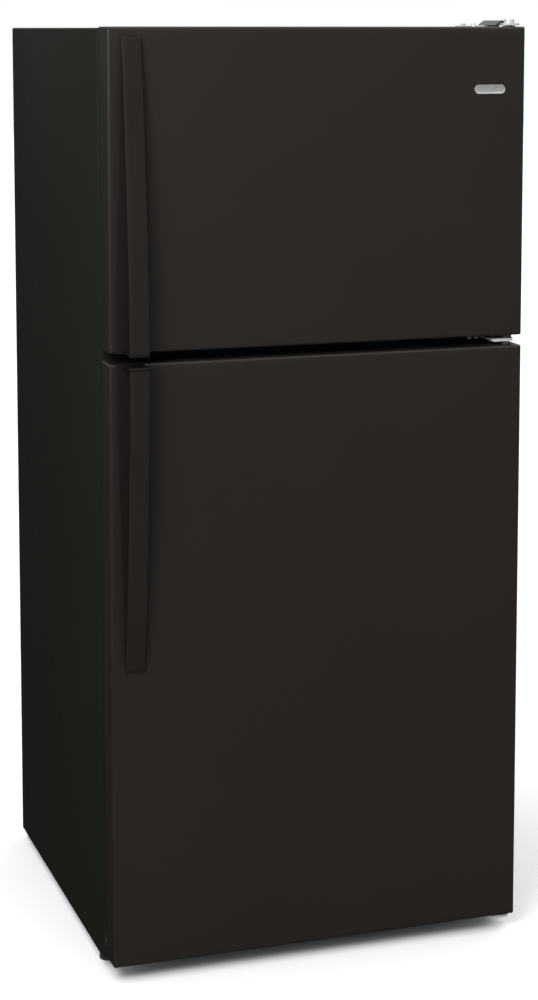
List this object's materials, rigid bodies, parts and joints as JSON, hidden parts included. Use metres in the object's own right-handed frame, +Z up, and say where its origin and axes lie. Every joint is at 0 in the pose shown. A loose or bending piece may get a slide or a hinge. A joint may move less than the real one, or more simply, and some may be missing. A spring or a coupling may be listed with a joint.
{
  "type": "top freezer refrigerator",
  "caption": "Upright refrigerator with a freezer above, right-hinged doors, wedge pull handles, shelves, bins, crispers and a cooling machine at the back.",
  "frame": {"origin": "on the floor, at the middle of the cabinet's width and of the whole depth from handles to back", "axes": "+X towards the hinge side, -Y out of the front, +Z up"},
  "size_m": [0.756, 0.8, 1.662],
  "materials": {
    "black_case": "satin",
    "black_door": "satin",
    "black_plastic": "satin",
    "white_liner": "satin",
    "clear_plastic": "gloss",
    "grey_seal": "matte",
    "insulation": "matte",
    "zinc_steel": "satin",
    "galvanised": "satin",
    "black_enamel": "satin",
    "condenser_black": "matte",
    "rubber": "matte",
    "roller_nylon": "matte",
    "motor_steel": "satin",
    "fan_plastic": "matte",
    "pan_plastic": "matte",
    "copper": "satin",
    "fin_aluminium": "satin",
    "heater_glass": "gloss",
    "white_plastic": "satin",
    "light_lens": "gloss",
    "bulb_glass": "gloss",
    "shelf_wire": "gloss",
    "shelf_glass": "gloss",
    "cover_plastic": "satin",
    "badge_metal": "satin",
    "back_sheet": "satin",
    "bushing_nylon": "matte"
  },
  "bodies": {
    "cabinet": {"cabinet_wrapper": "black_case", "cabinet_back_panel": "back_sheet", "cabinet_foam": "insulation", "freezer_liner": "white_liner", "fresh_food_liner": "white_liner", "mullion_rail": "black_case", "base_frame": "galvanised", "compressor_tray": "galvanised", "toe_grille": "black_plastic", "compressor": "black_enamel", "compressor_grommets": "rubber", "condenser_coil": "condenser_black", "fan_motors": "motor_steel", "drain_pan": "pan_plastic", "refrigerant_lines": "copper", "rear_access_cover": "back_sheet", "cord_gland": "rubber", "evaporator_coil": "fin_aluminium", "defrost_heater": "heater_glass", "evaporator_cover": "white_plastic", "control_housing": "white_plastic", "light_cover": "light_lens", "light_bulb": "bulb_glass", "light_switch_body": "white_plastic", "freezer_shelf": "shelf_wire", "shelf_frames": "white_plastic", "shelf_glass": "shelf_glass", "top_hinge": "zinc_steel", "top_hinge_cover": "cover_plastic", "centre_hinge": "zinc_steel", "bottom_hinge": "zinc_steel", "hinge_screws": "zinc_steel"},
    "freezer_door": {"freezer_door_shell": "black_door", "freezer_door_foam": "insulation", "freezer_door_liner": "white_liner", "freezer_door_gasket": "grey_seal", "freezer_door_bins": "clear_plastic", "freezer_door_bushings": "bushing_nylon", "freezer_door_handle": "black_plastic", "badge": "badge_metal"},
    "fridge_door": {"fridge_door_shell": "black_door", "fridge_door_foam": "insulation", "fridge_door_liner": "white_liner", "fridge_door_gasket": "grey_seal", "fridge_door_bins": "clear_plastic", "fridge_door_bushings": "bushing_nylon", "butter_box": "clear_plastic", "fridge_door_handle": "black_plastic"},
    "foot_left": {"levelling_foot_left": "roller_nylon"},
    "foot_right": {"levelling_foot_right": "roller_nylon"},
    "roller_left": {"rear_roller_left": "roller_nylon"},
    "roller_right": {"rear_roller_right": "roller_nylon"},
    "condenser_fan": {"condenser_fan_blade": "fan_plastic"},
    "evaporator_fan": {"evaporator_fan_blade": "fan_plastic"},
    "fridge_knob": {"fridge_control_knob": "white_plastic"},
    "freezer_knob": {"freezer_control_knob": "white_plastic"},
    "light_switch": {"light_switch_plunger": "white_plastic"},
    "left_crisper": {"crisper_left": "clear_plastic"},
    "right_crisper": {"crisper_right": "clear_plastic"},
    "butter_flap": {"butter_lid": "clear_plastic"}
  },
  "joints": [
    {"name": "freezer_door_swing", "type": "hinge", "parent": "cabinet", "child": "freezer_door", "pos_m": [0.356, -0.328, 1.1], "axis": [0, 0, 1], "range_deg": [0, 130]},
    {"name": "fridge_door_swing", "type": "hinge", "parent": "cabinet", "child": "fridge_door", "pos_m": [0.356, -0.328, 0.5], "axis": [0, 0, 1], "range_deg": [0, 130]},
    {"name": "left_crisper_slide", "type": "slide", "parent": "cabinet", "child": "left_crisper", "axis": [0, -1, 0], "range_m": [0, 0.078]},
    {"name": "right_crisper_slide", "type": "slide", "parent": "cabinet", "child": "right_crisper", "axis": [0, -1, 0], "range_m": [0, 0.078]},
    {"name": "butter_flap_lift", "type": "hinge", "parent": "fridge_door", "child": "butter_flap", "pos_m": [-0.155, -0.181, 1.012], "axis": [1, 0, 0], "range_deg": [0, 85]},
    {"name": "light_switch_travel", "type": "slide", "parent": "cabinet", "child": "light_switch", "axis": [0, -1, 0], "range_m": [0, 0.006]},
    {"name": "fridge_knob_turn", "type": "hinge", "parent": "cabinet", "child": "fridge_knob", "pos_m": [-0.07, -0.06, 1.034], "axis": [0, -1, 0], "range_deg": [0, 270]},
    {"name": "freezer_knob_turn", "type": "hinge", "parent": "cabinet", "child": "freezer_knob", "pos_m": [0.07, -0.06, 1.034], "axis": [0, -1, 0], "range_deg": [0, 270]},
    {"name": "condenser_fan_spin", "type": "hinge", "parent": "cabinet", "child": "condenser_fan", "pos_m": [0, 0.298, 0.14], "axis": [1, 0, 0], "continuous": true},
    {"name": "evaporator_fan_spin", "type": "hinge", "parent": "cabinet", "child": "evaporator_fan", "pos_m": [0, 0.285, 1.48], "axis": [0, 1, 0], "continuous": true},
    {"name": "left_roller_roll", "type": "hinge", "parent": "cabinet", "child": "roller_left", "pos_m": [-0.3584, 0.345, 0.022], "axis": [1, 0, 0], "continuous": true},
    {"name": "right_roller_roll", "type": "hinge", "parent": "cabinet", "child": "roller_right", "pos_m": [0.3584, 0.345, 0.022], "axis": [1, 0, 0], "continuous": true},
    {"name": "left_foot_turn", "type": "hinge", "parent": "cabinet", "child": "foot_left", "pos_m": [-0.3584, -0.232, 0.01], "axis": [0, 0, 1], "continuous": true},
    {"name": "right_foot_turn", "type": "hinge", "parent": "cabinet", "child": "foot_right", "pos_m": [0.3584, -0.232, 0.01], "axis": [0, 0, 1], "continuous": true}
  ],
  "couplings": [
    {"joint": "light_switch_travel", "follows": "fridge_door_swing", "m_per_rad": 0.0026}
  ]
}
